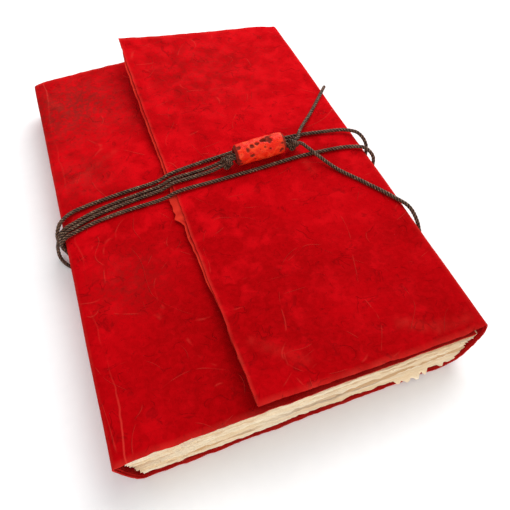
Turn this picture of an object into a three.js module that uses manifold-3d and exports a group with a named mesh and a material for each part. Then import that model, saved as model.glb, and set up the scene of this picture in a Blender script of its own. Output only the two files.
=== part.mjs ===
// A wrap-around pocket notebook in handmade paper, tied with a waxed cord and a coral bead.
// Millimetres. +X runs from the spine to the fore-edge, +Y from tail to head, +Z up off the table.
import * as THREE from 'three';
import { mergeVertices } from 'three/addons/utils/BufferGeometryUtils.js';
import Module from 'manifold-3d';

// ---- Driving dimensions -------------------------------------------------------------------
const WIDTH = 108;            // spine crease to fore-edge crease, across the closed book
const LENGTH = 170;           // tail to head
const OUTER = 0.6;            // outer cover sheet thickness
const LINING = 0.5;           // lining sheet thickness
const GAP = 0.3;              // air kept between neighbouring pieces
const SECTION_COUNT = 8;      // folded groups of leaves in the text block
const LOWER_SECTIONS = 4;     // groups that stay on the back cover when the book is open
const SECTION = 1.2;          // thickness of one pressed group of leaves
const BLOCK_LEFT = -48;       // sewn fold of the lowest group of leaves
const BLOCK_RIGHT = 46.5;     // deckled fore-edge of the lowest group of leaves
const LEFT_STEP = 0.4;        // how far each fold stands out past the one below
const RIGHT_STEP = 0.58;      // how far each fore-edge stands out past the one below
const THREAD = 0.5;           // sewing thread diameter
const CORD = 1.5;             // waxed cord diameter
const BEAD_LENGTH = 18.4;
const BEAD_RADIUS = 4.1;
const BORE_RADIUS = 2.1;
const KNOT_RADIUS = 2.5;
const FLAP_EDGE_X = -15;      // free edge of the flap, measured on the closed book
const DENT_Y = -7;            // middle of the dent that the cord presses under the back cover
const DENT_HALF = 8.4;        // half of the dent's flat floor
const DENT_SLOPE = 5;         // run of each side of the dent
const DENT_RISE = 1.9;        // depth of the dent, a little more than the cord
const FAR_LIFT = 9;           // curl of the flap's free corner at the head
const NEAR_LIFT = 3.5;        // curl of the flap's free corner at the tail

// ---- Heights that follow from them --------------------------------------------------------
const HALF_LENGTH = LENGTH / 2;
const LEFT = -WIDTH / 2;
const RIGHT = WIDTH / 2;
const BACK_LINING_Z = OUTER + GAP;
const FIRST_SECTION_Z = BACK_LINING_Z + LINING + GAP;
const SECTION_PITCH = SECTION + GAP;
const BLOCK_TOP_Z = FIRST_SECTION_Z + SECTION_COUNT * SECTION_PITCH - GAP;
const FRONT_LINING_Z = BLOCK_TOP_Z + GAP;
const FRONT_OUTER_Z = FRONT_LINING_Z + LINING + GAP;
const FLAP_LINING_Z = FRONT_OUTER_Z + OUTER + GAP;
const FLAP_OUTER_Z = FLAP_LINING_Z + LINING + GAP;
const FLAP_TOP_Z = FLAP_OUTER_Z + OUTER;
const LINING_OFFSET = (OUTER + LINING) / 2 + GAP;
const FRONT_TOP_Z = FRONT_OUTER_Z + OUTER;
const BEAD_X = 18;
const BEAD_Y = 3.5;
const BEAD_Z = FLAP_TOP_Z + GAP + BEAD_RADIUS;

// ---- Materials ----------------------------------------------------------------------------
const paper = (color, roughness) => new THREE.MeshStandardMaterial({ color, roughness, metalness: 0 });
const coverRed = paper(0xb8070c, 0.75);
const liningRed = paper(0xc92a18, 0.85);
const pageCream = paper(0xead9b8, 0.9);
const threadFlax = paper(0xd8c7a2, 0.9);
const cordBrown = paper(0x2e1a14, 0.55);
const beadCoral = paper(0xd8331c, 0.45);

const notebook = new THREE.Group();

function addPiece(name, geometry, material) {
  const mesh = new THREE.Mesh(geometry, material);
  mesh.name = name;
  notebook.add(mesh);
}

// ---- Cover sheets -------------------------------------------------------------------------
// A sheet that runs the whole length of the book is its cross-section in X and Z, extruded along Y.

// The points of a line moved sideways, to its left when the distance is positive.
function parallel(points, distance) {
  return points.map((point, i) => {
    const before = points[Math.max(i - 1, 0)];
    const after = points[Math.min(i + 1, points.length - 1)];
    const along = after.clone().sub(before).normalize();
    return new THREE.Vector2(point.x - along.y * distance, point.y + along.x * distance);
  });
}

function bandAlongY(centreLine, offset, thickness) {
  const one = parallel(centreLine, offset + thickness / 2);
  const other = parallel(centreLine, offset - thickness / 2);
  const shape = new THREE.Shape([...one, ...other.reverse()]);
  const geometry = new THREE.ExtrudeGeometry(shape, { depth: LENGTH, bevelEnabled: false });
  geometry.translate(0, 0, -HALF_LENGTH);
  return geometry.rotateX(Math.PI / 2);
}

// Sheets and sections that the cord dents are their cross-section in Y and Z, extruded along X.
function dentedSlab(left, right, bottom, top, bottomRise, topRise) {
  const line = (z, rise) => [
    new THREE.Vector2(-HALF_LENGTH, z),
    new THREE.Vector2(DENT_Y - DENT_HALF - DENT_SLOPE, z),
    new THREE.Vector2(DENT_Y - DENT_HALF, z + rise),
    new THREE.Vector2(DENT_Y + DENT_HALF, z + rise),
    new THREE.Vector2(DENT_Y + DENT_HALF + DENT_SLOPE, z),
    new THREE.Vector2(HALF_LENGTH, z),
  ];
  const shape = new THREE.Shape([...line(bottom, bottomRise), ...line(top, topRise).reverse()]);
  const geometry = new THREE.ExtrudeGeometry(shape, { depth: right - left, bevelEnabled: false });
  const turn = new THREE.Matrix4().makeBasis(
    new THREE.Vector3(0, 1, 0),
    new THREE.Vector3(0, 0, 1),
    new THREE.Vector3(1, 0, 0),
  );
  geometry.applyMatrix4(turn);
  return geometry.translate(left, 0, 0);
}

const BACK_LEFT = -47.9;
const BACK_RIGHT = 46.4;
addPiece(
  'back_cover_outer',
  dentedSlab(BACK_LEFT, BACK_RIGHT, 0, OUTER, DENT_RISE, DENT_RISE),
  coverRed,
);
addPiece(
  'back_cover_lining',
  dentedSlab(BACK_LEFT, BACK_RIGHT, BACK_LINING_Z, BACK_LINING_Z + LINING, DENT_RISE, DENT_RISE),
  liningRed,
);

// The spine wall leans out from the bottom crease to the top one, and the fore-edge wall swells out.
const spineLine = [new THREE.Vector2(-50.6, 2.3), new THREE.Vector2(-53.6, FRONT_OUTER_Z - 0.8)];
addPiece('spine_outer', bandAlongY(spineLine, 0, OUTER), coverRed);
addPiece('spine_lining', bandAlongY(spineLine, -LINING_OFFSET, LINING), liningRed);

const foreEdgeLine = [
  new THREE.Vector2(48.3, 2.3),
  new THREE.Vector2(50.9, 7),
  new THREE.Vector2(52.8, 11.5),
  new THREE.Vector2(53.5, FLAP_OUTER_Z - 1),
];
addPiece('fore_edge_outer', bandAlongY(foreEdgeLine, 0, OUTER), coverRed);
addPiece('fore_edge_lining', bandAlongY(foreEdgeLine, LINING_OFFSET, LINING), liningRed);

const FRONT_RIGHT = 50.5;
const frontOuterMiddle = FRONT_OUTER_Z + OUTER / 2;
const frontLiningMiddle = FRONT_LINING_Z + LINING / 2;
addPiece(
  'front_cover_outer',
  bandAlongY(
    [new THREE.Vector2(LEFT + GAP, frontOuterMiddle), new THREE.Vector2(FRONT_RIGHT, frontOuterMiddle)],
    0,
    OUTER,
  ),
  coverRed,
);
addPiece(
  'front_cover_lining',
  bandAlongY(
    [new THREE.Vector2(LEFT + 2, frontLiningMiddle), new THREE.Vector2(FRONT_RIGHT - 0.5, frontLiningMiddle)],
    0,
    LINING,
  ),
  liningRed,
);

// The flap is a soft sheet whose two free corners curl up, and which lies flat where the cord holds it.
const FLAP_COLUMNS = 8;
const FLAP_ROWS = 16;
const CURL_START_X = 38;
const CURL_FAR_Y = 14;
const CURL_NEAR_Y = -16;

function flapLift(x, y) {
  const across = THREE.MathUtils.clamp((CURL_START_X - x) / (CURL_START_X - FLAP_EDGE_X), 0, 1);
  const farShare = THREE.MathUtils.clamp((y - CURL_FAR_Y) / (HALF_LENGTH - CURL_FAR_Y), 0, 1);
  const nearShare = THREE.MathUtils.clamp((CURL_NEAR_Y - y) / (HALF_LENGTH + CURL_NEAR_Y), 0, 1);
  return across ** 1.5 * (FAR_LIFT * farShare ** 1.5 + NEAR_LIFT * nearShare ** 1.5);
}

function flapSheet(bottom, thickness, inset) {
  const left = FLAP_EDGE_X + inset;
  const right = RIGHT - GAP - inset;
  const geometry = new THREE.BoxGeometry(right - left, LENGTH, thickness, FLAP_COLUMNS, FLAP_ROWS, 1);
  geometry.translate((left + right) / 2, 0, bottom + thickness / 2);
  const position = geometry.attributes.position;
  for (let i = 0; i < position.count; i += 1) {
    const lift = flapLift(position.getX(i), position.getY(i));
    position.setZ(i, position.getZ(i) + lift);
  }
  return geometry;
}

addPiece('flap_outer', flapSheet(FLAP_OUTER_Z, OUTER, 0), coverRed);
addPiece('flap_lining', flapSheet(FLAP_LINING_Z, LINING, 0.6), liningRed);

// ---- Text block ---------------------------------------------------------------------------
// The lower sections take up the dent between them, each pressed a little thinner than the last.
// The block widens upwards on both sides, as the leaning walls of the cover let it.
const THREAD_HALF_LENGTH = 62;

for (let i = 0; i < SECTION_COUNT; i += 1) {
  const left = BLOCK_LEFT - i * LEFT_STEP;
  const right = BLOCK_RIGHT + i * RIGHT_STEP;
  const bottom = FIRST_SECTION_Z + i * SECTION_PITCH;
  const riseBelow = DENT_RISE * Math.max(0, 1 - i / LOWER_SECTIONS);
  const riseAbove = DENT_RISE * Math.max(0, 1 - (i + 1) / LOWER_SECTIONS);
  addPiece(
    `section_${i + 1}`,
    dentedSlab(left, right, bottom, bottom + SECTION, riseBelow, riseAbove),
    pageCream,
  );
  const thread = new THREE.CylinderGeometry(THREAD / 2, THREAD / 2, 2 * THREAD_HALF_LENGTH, 8);
  thread.translate(left - GAP - THREAD / 2, 0, bottom + SECTION / 2);
  addPiece(`thread_${i + 1}`, thread, threadFlax);
}

// ---- Cord ---------------------------------------------------------------------------------
// One cord, doubled. Its fold lies hidden under the book, each half goes once round the book,
// and both ends go through the first knot, the bead and the second knot, and lie loose.
const CORD_SIDES = 8;
const ON_TABLE = CORD / 2 + 0.05;
const ON_COVER = FRONT_TOP_Z + GAP + CORD / 2 + 0.05;
const ON_FLAP = FLAP_TOP_Z + GAP + CORD / 2 + 0.05;

function cordTube(points) {
  const path = new THREE.CatmullRomCurve3(points.map((p) => new THREE.Vector3(...p)), false, 'centripetal');
  // Each step of the tube ends on a point of the route.
  path.getUtoTmapping = (u) => u;
  const corners = [];
  for (let i = 0; i < CORD_SIDES; i += 1) {
    const angle = (2 * Math.PI * i) / CORD_SIDES;
    corners.push(new THREE.Vector2(Math.cos(angle) * CORD / 2, Math.sin(angle) * CORD / 2));
  }
  return new THREE.ExtrudeGeometry(new THREE.Shape(corners), {
    steps: points.length - 1,
    extrudePath: path,
    bevelEnabled: false,
  });
}

const FOLD_X = -22.2;
const FOLD_Y = -10;

// From the first knot over the spine, under the book, up the fore-edge and back over the top.
const turnOne = [
  [2.7, 4.2, ON_FLAP + 1],
  [-0.8, 4.9, ON_FLAP + 0.2],
  [-7, 5, ON_FLAP],
  [-14.2, 4.8, ON_FLAP],
  [-18.5, 4.6, ON_COVER + 0.3],
  [-24, 4.2, ON_COVER],
  [-34, 3.2, ON_COVER],
  [-42, 1.8, ON_COVER],
  [-49, -0.4, ON_COVER + 0.1],
  [-53.6, -2.2, ON_COVER + 0.2],
  [-55.6, -3, ON_COVER - 1.6],
  [-55, -3.3, 10],
  [-53.3, -3.3, 3.2],
  [-51.2, -3.3, ON_TABLE + 0.2],
  [-46, -3.3, ON_TABLE],
  [-20, -3.4, ON_TABLE],
  [0, -4.6, ON_TABLE],
  [44, -7, ON_TABLE],
  [50.2, -7.2, ON_TABLE + 0.1],
  [52.8, -7, 4],
  [55.4, -6, 11.5],
  [56.6, -3.4, ON_COVER],
  [55.2, 0.8, ON_FLAP + 0.6],
  [51.5, 4.1, ON_FLAP + 0.6],
  [43.4, 6.9, ON_FLAP + 0.1],
  [33.8, 8.9, ON_FLAP],
  [20, 9.6, ON_FLAP],
  [6, 9.3, ON_FLAP],
  [-13.8, 7.6, ON_FLAP],
  [-19, 7.2, ON_COVER + 0.3],
  [-30, 6.9, ON_COVER],
  [-44.9, 5.4, ON_COVER],
  [-50.6, 3.9, ON_COVER + 0.1],
  [-54.4, 0.8, ON_COVER],
  [-56.2, -1.1, ON_COVER - 2.2],
  [-57.2, -0.2, 9],
  [-58.7, 0.9, 4.4],
  [-59, -0.6, ON_TABLE + 0.6],
  [-57.2, -4.4, ON_TABLE],
  [-53, -8.2, ON_TABLE],
  [-46, -10.6, ON_TABLE],
  [-34, -12.6, ON_TABLE],
  [-26, -13.2, ON_TABLE],
  [-23.2, -12.2, ON_TABLE],
  [FOLD_X - 0.2, FOLD_Y - 1.2, ON_TABLE],
  [FOLD_X, FOLD_Y - GAP, ON_TABLE],
];

// The other half, from the fold back to the first knot.
const turnTwo = [
  [FOLD_X, FOLD_Y + GAP, ON_TABLE],
  [FOLD_X - 0.2, FOLD_Y + 1.2, ON_TABLE],
  [-23.2, -7.9, ON_TABLE],
  [-26, -6.9, ON_TABLE],
  [-46, -7, ON_TABLE],
  [-51.2, -7, ON_TABLE + 0.2],
  [-53.3, -7, 3.2],
  [-55, -7, 10],
  [-55.6, -6.9, ON_COVER - 1.6],
  [-53.6, -6.1, ON_COVER + 0.2],
  [-49, -4.6, ON_COVER],
  [-42, -2.9, ON_COVER],
  [-32, -1.9, ON_COVER],
  [-19, -1.8, ON_COVER + 0.3],
  [-13.8, -1.8, ON_FLAP],
  [0, -1.9, ON_FLAP],
  [14, -2, ON_FLAP],
  [30, -1.8, ON_FLAP],
  [40, -2.5, ON_FLAP],
  [49.1, -4.2, ON_FLAP + 0.1],
  [54.2, -6.9, ON_FLAP + 0.1],
  [56.2, -10, ON_COVER - 0.4],
  [55.4, -11.6, 11.5],
  [52.8, -11.6, 4],
  [50.2, -11.2, ON_TABLE + 0.1],
  [44, -10.8, ON_TABLE],
  [0, -6.9, ON_TABLE],
  [-20, -5.3, ON_TABLE],
  [-46, -5.1, ON_TABLE],
  [-51.2, -5.1, ON_TABLE + 0.2],
  [-53.3, -5.1, 3.2],
  [-55, -5.1, 10],
  [-55.6, -4.9, ON_COVER - 1.6],
  [-53.6, -4.1, ON_COVER + 0.2],
  [-49, -2.3, ON_COVER + 0.1],
  [-42, -0.1, ON_COVER],
  [-34, 1.2, ON_COVER],
  [-24, 2.2, ON_COVER],
  [-18.5, 2.6, ON_COVER + 0.3],
  [-14.2, 2.8, ON_FLAP],
  [-7, 2.9, ON_FLAP],
  [-0.8, 2.8, ON_FLAP + 0.2],
  [2.7, 2.3, ON_FLAP + 1],
];

const tailUp = [
  [33.1, 4.8, ON_FLAP + 2.2],
  [34.4, 7.1, ON_FLAP + 2.2],
  [36, 9.4, ON_FLAP + 2],
  [38.8, 13, ON_FLAP + 0.9],
  [43, 17.4, ON_FLAP + 0.1],
  [49, 24, ON_FLAP],
  [55.3, 31, ON_FLAP + 0.1],
];

const tailDown = [
  [33.1, 2.2, ON_FLAP + 2.2],
  [34.5, -0.8, ON_FLAP + 2.2],
  [36, -3.8, ON_FLAP + 1.8],
  [40.2, -12, ON_FLAP + 0.2],
  [46, -21.4, ON_FLAP],
  [52.4, -32.2, ON_FLAP],
  [55.4, -37.2, ON_FLAP - 0.4],
  [56.4, -41.4, ON_COVER - 1.2],
  [56, -45, 11.5],
];

addPiece('cord_turn_1', cordTube(turnOne), cordBrown);
addPiece('cord_turn_2', cordTube(turnTwo), cordBrown);
addPiece('cord_tail_up', cordTube(tailUp), cordBrown);
addPiece('cord_tail_down', cordTube(tailDown), cordBrown);

// ---- Bead and knots -----------------------------------------------------------------------
const HALF_BEAD = BEAD_LENGTH / 2;
const STRAND_OFFSET = CORD / 2 + 0.1;
const inBead = (side) => [
  [BEAD_X - HALF_BEAD - GAP, BEAD_Y + side * STRAND_OFFSET, BEAD_Z],
  [BEAD_X, BEAD_Y + side * STRAND_OFFSET, BEAD_Z],
  [BEAD_X + HALF_BEAD + GAP, BEAD_Y + side * STRAND_OFFSET, BEAD_Z],
];
addPiece('cord_in_bead_1', cordTube(inBead(1)), cordBrown);
addPiece('cord_in_bead_2', cordTube(inBead(-1)), cordBrown);

const wasm = await Module();
wasm.setup();

function toManifold(geometry) {
  const bare = geometry.clone();
  bare.deleteAttribute('normal');
  bare.deleteAttribute('uv');
  const merged = mergeVertices(bare, 1e-4);
  return new wasm.Manifold(new wasm.Mesh({
    numProp: 3,
    vertProperties: new Float32Array(merged.attributes.position.array),
    triVerts: new Uint32Array(merged.index.array),
  }));
}

function toGeometry(solid) {
  const mesh = solid.getMesh();
  const geometry = new THREE.BufferGeometry();
  geometry.setAttribute('position', new THREE.BufferAttribute(mesh.vertProperties, 3));
  geometry.setIndex(new THREE.BufferAttribute(mesh.triVerts, 1));
  return geometry;
}

// The bead swells a little at the middle and has rounded shoulders.
const SHOULDER = 1.1;
const beadOutline = [
  new THREE.Vector2(0, -HALF_BEAD),
  new THREE.Vector2(BEAD_RADIUS - SHOULDER, -HALF_BEAD),
  new THREE.Vector2(BEAD_RADIUS - SHOULDER / 3, -HALF_BEAD + SHOULDER / 3),
  new THREE.Vector2(BEAD_RADIUS - 0.1, -HALF_BEAD + SHOULDER),
  new THREE.Vector2(BEAD_RADIUS, 0),
  new THREE.Vector2(BEAD_RADIUS - 0.1, HALF_BEAD - SHOULDER),
  new THREE.Vector2(BEAD_RADIUS - SHOULDER / 3, HALF_BEAD - SHOULDER / 3),
  new THREE.Vector2(BEAD_RADIUS - SHOULDER, HALF_BEAD),
  new THREE.Vector2(0, HALF_BEAD),
];
const beadBody = toManifold(new THREE.LatheGeometry(beadOutline, 24));
const bore = toManifold(new THREE.CylinderGeometry(BORE_RADIUS, BORE_RADIUS, BEAD_LENGTH + 2, 24));
const beadGeometry = toGeometry(beadBody.subtract(bore));
beadGeometry.rotateZ(Math.PI / 2);
beadGeometry.translate(BEAD_X, BEAD_Y, BEAD_Z);
addPiece('bead', beadGeometry, beadCoral);

// Each knot is a small round lump of both strands, hard against the bead's end.
const KNOT_Z = FLAP_TOP_Z + GAP + KNOT_RADIUS;
const knotDistance = HALF_BEAD + 2 * GAP + KNOT_RADIUS;
for (const [name, side] of [['knot_left', -1], ['knot_right', 1]]) {
  const knot = new THREE.SphereGeometry(KNOT_RADIUS, 12, 8);
  knot.translate(BEAD_X + side * knotDistance, BEAD_Y - 0.3, KNOT_Z);
  addPiece(name, knot, cordBrown);
}

export default notebook;
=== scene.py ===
# %% [markdown]
# # A wrap-around pocket notebook in red handmade paper
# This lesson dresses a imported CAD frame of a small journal: a soft paper cover with a flap, a block
# of deckled leaves, a waxed cord and a coral bead. The frame fixes every size and every moving part.
# The script only makes the looks, so it starts by loading the frame and noting its box.

# %% Load the frame
import math
import random

import bpy
import numpy as np
from mathutils import Matrix, Vector, noise


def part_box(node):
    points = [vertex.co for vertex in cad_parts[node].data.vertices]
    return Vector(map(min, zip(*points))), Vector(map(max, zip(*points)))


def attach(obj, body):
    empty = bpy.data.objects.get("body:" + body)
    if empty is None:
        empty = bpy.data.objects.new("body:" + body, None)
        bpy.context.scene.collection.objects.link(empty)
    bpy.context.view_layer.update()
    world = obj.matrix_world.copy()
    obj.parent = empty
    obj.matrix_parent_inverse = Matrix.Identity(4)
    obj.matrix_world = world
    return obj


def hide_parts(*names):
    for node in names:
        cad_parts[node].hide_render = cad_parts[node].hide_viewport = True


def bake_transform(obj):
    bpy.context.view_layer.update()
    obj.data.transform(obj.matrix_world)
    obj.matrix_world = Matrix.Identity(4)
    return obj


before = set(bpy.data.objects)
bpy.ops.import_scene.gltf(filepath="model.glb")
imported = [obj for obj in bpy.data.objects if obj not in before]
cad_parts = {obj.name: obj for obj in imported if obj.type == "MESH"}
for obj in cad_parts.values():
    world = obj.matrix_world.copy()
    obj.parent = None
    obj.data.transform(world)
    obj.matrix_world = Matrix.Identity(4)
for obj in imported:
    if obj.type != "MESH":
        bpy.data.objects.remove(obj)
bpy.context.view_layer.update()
MM = 0.001

# %% [markdown]
# ## Camera, floor and light
# The notebook is seen from above its tail, turned a little so that the spine is on the left. A real
# camera is placed by three things: where it stands, where it looks, and how it is rolled. The floor
# is a wide pale sheet. The key lamp stands past the head, to the right, and is broad so that shadows
# are soft. A weaker lamp in front lights the leaves' tail edges, and a pale sky fills the rest.

# %% Place the camera
def show(thing):
    bpy.context.scene.collection.objects.link(thing)

CAMERA_AT = Vector((-28.4, -140.4, 158.0)) * MM
LOOK_ALONG = Vector((0.1688, 0.5832, -0.7945))
RIGHT_HAND = Vector((0.9392, -0.3401, -0.0499))
LENS_MM = 40.3

def place_camera():
    back = -LOOK_ALONG.normalized()
    right = (RIGHT_HAND - RIGHT_HAND.dot(back) * back).normalized()
    up = back.cross(right)
    data = bpy.data.cameras.new("camera")
    data.lens = LENS_MM
    data.sensor_width = 36
    data.clip_start = 0.005
    camera = bpy.data.objects.new("camera", data)
    turn = Matrix((right, up, back)).transposed().to_4x4()
    camera.matrix_world = Matrix.Translation(CAMERA_AT) @ turn
    show(camera)
    bpy.context.scene.camera = camera

place_camera()
print("camera stands", round(CAMERA_AT.z, 3), "m above the table")

# %% Lay the floor and hang the lamps
FLOOR_SIZE = 6.0
FLOOR_DROP = 0.05 * MM
KEY_AT, KEY_SIZE, KEY_WATTS = (0.38, 0.34, 0.50), 0.7, 6.0
FRONT_AT, FRONT_SIZE, FRONT_WATTS = (-0.20, -0.60, 0.20), 0.5, 2.2
SKY_STRENGTH = 0.62

def add_area_light(name, at, aim, size, watts):
    data = bpy.data.lights.new(name, "AREA")
    data.shape = "SQUARE"
    data.size = size
    data.energy = watts
    lamp = bpy.data.objects.new(name, data)
    lamp.location = at
    lamp.rotation_euler = (Vector(aim) - Vector(at)).to_track_quat("-Z", "Y").to_euler()
    show(lamp)

def lay_floor():
    half = FLOOR_SIZE / 2
    corners = [(-half, -half, 0), (half, -half, 0), (half, half, 0), (-half, half, 0)]
    mesh = bpy.data.meshes.new("floor")
    mesh.from_pydata(corners, [], [(0, 1, 2, 3)])
    floor = bpy.data.objects.new("floor", mesh)
    floor.location.z = -FLOOR_DROP
    show(floor)
    return floor

floor = lay_floor()
add_area_light("key_lamp", KEY_AT, (0, 0.02, 0.01), KEY_SIZE, KEY_WATTS)
add_area_light("front_lamp", FRONT_AT, (0, -0.05, 0.01), FRONT_SIZE, FRONT_WATTS)

world = bpy.data.worlds.new("sky")
bpy.context.scene.world = world
world.use_nodes = True
world.node_tree.nodes["Background"].inputs["Color"].default_value = (1, 1, 1, 1)
world.node_tree.nodes["Background"].inputs["Strength"].default_value = SKY_STRENGTH
bpy.context.scene.view_settings.view_transform = "Standard"

# %% [markdown]
# ## Shared helpers for meshes
# Every piece here is made from rows of points. A sheet of paper is a closed slab: an outer grid, an
# inner grid and a strip round the edge. A cord is a row of rings swept along a smooth line. Numpy
# holds the points, because this notebook has hundreds of thousands of them.

# %% Mesh helpers
def make_object(name, vertices, faces, smooth_below=40):
    mesh = bpy.data.meshes.new(name)
    mesh.from_pydata([tuple(v) for v in vertices], [], [tuple(int(i) for i in f) for f in faces])
    mesh.polygons.foreach_set("use_smooth", [True] * len(mesh.polygons))
    mesh.set_sharp_from_angle(angle=math.radians(smooth_below))
    mesh.update()
    piece = bpy.data.objects.new(name, mesh)
    show(piece)
    return piece

def mark_points(piece, label, values):
    """Keeps one number on each point of a piece, for its finish to read."""
    layer = piece.data.attributes.new(label, "FLOAT", "POINT")
    layer.data.foreach_set("value", np.asarray(values, np.float32))

def grid_faces(rows, columns, start, flip):
    i, j = np.meshgrid(np.arange(rows - 1), np.arange(columns - 1), indexing="ij")
    a = start + i * columns + j
    quads = np.stack([a, a + columns, a + columns + 1, a + 1], -1).reshape(-1, 4)
    return quads[:, ::-1] if flip else quads

def tube_faces(rows, around, closed=False):
    """The faces between rings of points, and from the last ring to the first if it is closed."""
    i, j = np.meshgrid(np.arange(rows if closed else rows - 1), np.arange(around), indexing="ij")
    k = (j + 1) % around
    after = (i + 1) % rows * around
    return np.stack([i * around + j, after + j, after + k, i * around + k], -1).reshape(-1, 4)

def slab(outer, inner):
    """Vertices and faces of the closed slab between two grids of points."""
    rows, columns = outer.shape[:2]
    count = rows * columns
    vertices = np.concatenate([outer.reshape(-1, 3), inner.reshape(-1, 3)])
    rim = [(i, 0) for i in range(rows)] + [(rows - 1, j) for j in range(1, columns)]
    rim += [(i, columns - 1) for i in range(rows - 2, -1, -1)]
    rim += [(0, j) for j in range(columns - 2, 0, -1)]
    index = np.array([i * columns + j for i, j in rim])
    after = np.roll(index, -1)
    strip = np.stack([index, index + count, after + count, after], -1)
    faces = np.concatenate(
        [grid_faces(rows, columns, 0, False), grid_faces(rows, columns, count, True), strip[:, ::-1]]
    )
    return vertices, faces

def smooth_line(points, step):
    """A centripetal Catmull-Rom curve through the points, cut into equal steps."""
    p = np.array(points, float)
    p = np.vstack([2 * p[0] - p[1], p, 2 * p[-1] - p[-2]])
    fine = []
    for a, b, c, d in zip(p[:-3], p[1:-2], p[2:-1], p[3:]):
        knots = np.cumsum([0] + [np.linalg.norm(v) ** 0.5 for v in (b - a, c - b, d - c)])
        t = np.linspace(knots[1], knots[2], 24, endpoint=False)[:, None]
        t0, t1, t2, t3 = knots
        ab = (t1 - t) / (t1 - t0) * a + (t - t0) / (t1 - t0) * b
        bc = (t2 - t) / (t2 - t1) * b + (t - t1) / (t2 - t1) * c
        cd = (t3 - t) / (t3 - t2) * c + (t - t2) / (t3 - t2) * d
        abc = (t2 - t) / (t2 - t0) * ab + (t - t0) / (t2 - t0) * bc
        bcd = (t3 - t) / (t3 - t1) * bc + (t - t1) / (t3 - t1) * cd
        fine.append((t2 - t) / (t2 - t1) * abc + (t - t1) / (t2 - t1) * bcd)
    fine = np.vstack([*fine, p[-2][None]])
    along = np.concatenate([[0], np.cumsum(np.linalg.norm(np.diff(fine, axis=0), axis=1))])
    marks = np.linspace(0, along[-1], max(2, int(round(along[-1] / step)) + 1))
    return np.stack([np.interp(marks, along, fine[:, k]) for k in range(fine.shape[1])], -1)

def ripple_over(x, y, z, size, seed):
    """The same smooth noise over a grid of places."""
    spots = np.stack([np.ravel(x), np.ravel(y), np.ravel(z)], -1)
    return ripple(spots, size, seed).reshape(x.shape)

def soft_step(x, low, high):
    t = np.clip((np.asarray(x, float) - low) / (high - low), 0, 1)
    return t * t * (3 - 2 * t)

def ripple(points, size, seed):
    """Smooth noise from -1 to 1 at each point; size is the width of one ripple."""
    shift = Vector((seed * 7.3, seed * 3.1, seed * 5.7))
    return np.array([noise.noise(Vector(p) / size + shift) for p in points])

# %% [markdown]
# ## The waxed cord
# One cord, folded in half, closes the book. Its fold is hidden underneath. Each half goes round the
# cover more than once, then through a knot, the bead and a second knot, and its end lies loose. A
# curve with a bevel would give a smooth wire. A waxed cotton cord is three strands laid together, so
# it is swept as a ring with three lobes that turns as it goes, which catches light like real twist.
# The route is the one that the frame's tubes follow.

# %% The cord's route, in millimetres
CORD = 1.35
ON_TABLE = CORD / 2 + 0.05
ON_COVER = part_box("front_cover_outer")[1].z / MM + CORD / 2 + 0.05
ON_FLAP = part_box("flap_outer")[0].z / MM + 0.6 + CORD / 2 + 0.05
BEAD_LOW, BEAD_HIGH = (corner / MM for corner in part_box("bead"))
BEAD_MIDDLE = (BEAD_LOW + BEAD_HIGH) / 2
STRAND = CORD / 2 + 0.1

TURN_ONE = [
    (2.7, 4.2, ON_FLAP + 1.6), (-0.8, 4.9, ON_FLAP + 0.4), (-7, 5, ON_FLAP), (-14.2, 4.8, ON_FLAP),
    (-18.5, 4.6, ON_COVER + 0.3), (-24, 4.2, ON_COVER), (-34, 3.2, ON_COVER), (-42, 1.8, ON_COVER),
    (-49, -0.4, ON_COVER), (-53.6, -2.2, ON_COVER - 0.2), (-55.4, -3, ON_COVER - 1.8),
    (-54.6, -3.3, 9), (-53, -3.3, 3.6), (-51.2, -3.3, ON_TABLE + 0.2), (-46, -3.3, ON_TABLE),
    (-20, -3.4, ON_TABLE), (0, -4.6, ON_TABLE), (44, -7, ON_TABLE), (50.2, -7.2, ON_TABLE + 0.1),
    (52.8, -7, 4), (55.2, -6, 11.5), (56.4, -3.4, ON_COVER), (55.2, 0.8, ON_FLAP + 0.4),
    (51.5, 4.1, ON_FLAP + 0.5), (43.4, 6.9, ON_FLAP + 0.1), (33.8, 8.9, ON_FLAP),
    (20, 9.6, ON_FLAP), (6, 9.3, ON_FLAP), (-13.8, 7.6, ON_FLAP), (-19, 7.2, ON_COVER + 0.3),
    (-30, 6.9, ON_COVER), (-44.9, 5.4, ON_COVER), (-50.6, 3.9, ON_COVER + 0.1),
    (-54.4, 0.8, ON_COVER), (-56.2, -1.1, ON_COVER - 2.2), (-57.2, -0.2, 9), (-58.7, 0.9, 4.4),
    (-59, -0.6, ON_TABLE + 0.6), (-57.2, -4.4, ON_TABLE), (-53, -8.2, ON_TABLE),
    (-46, -10.6, ON_TABLE), (-34, -12.6, ON_TABLE), (-26, -13.2, ON_TABLE),
    (-23.2, -12.2, ON_TABLE), (-22.4, -11.2, ON_TABLE), (-22.2, -10, ON_TABLE),
]
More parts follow.
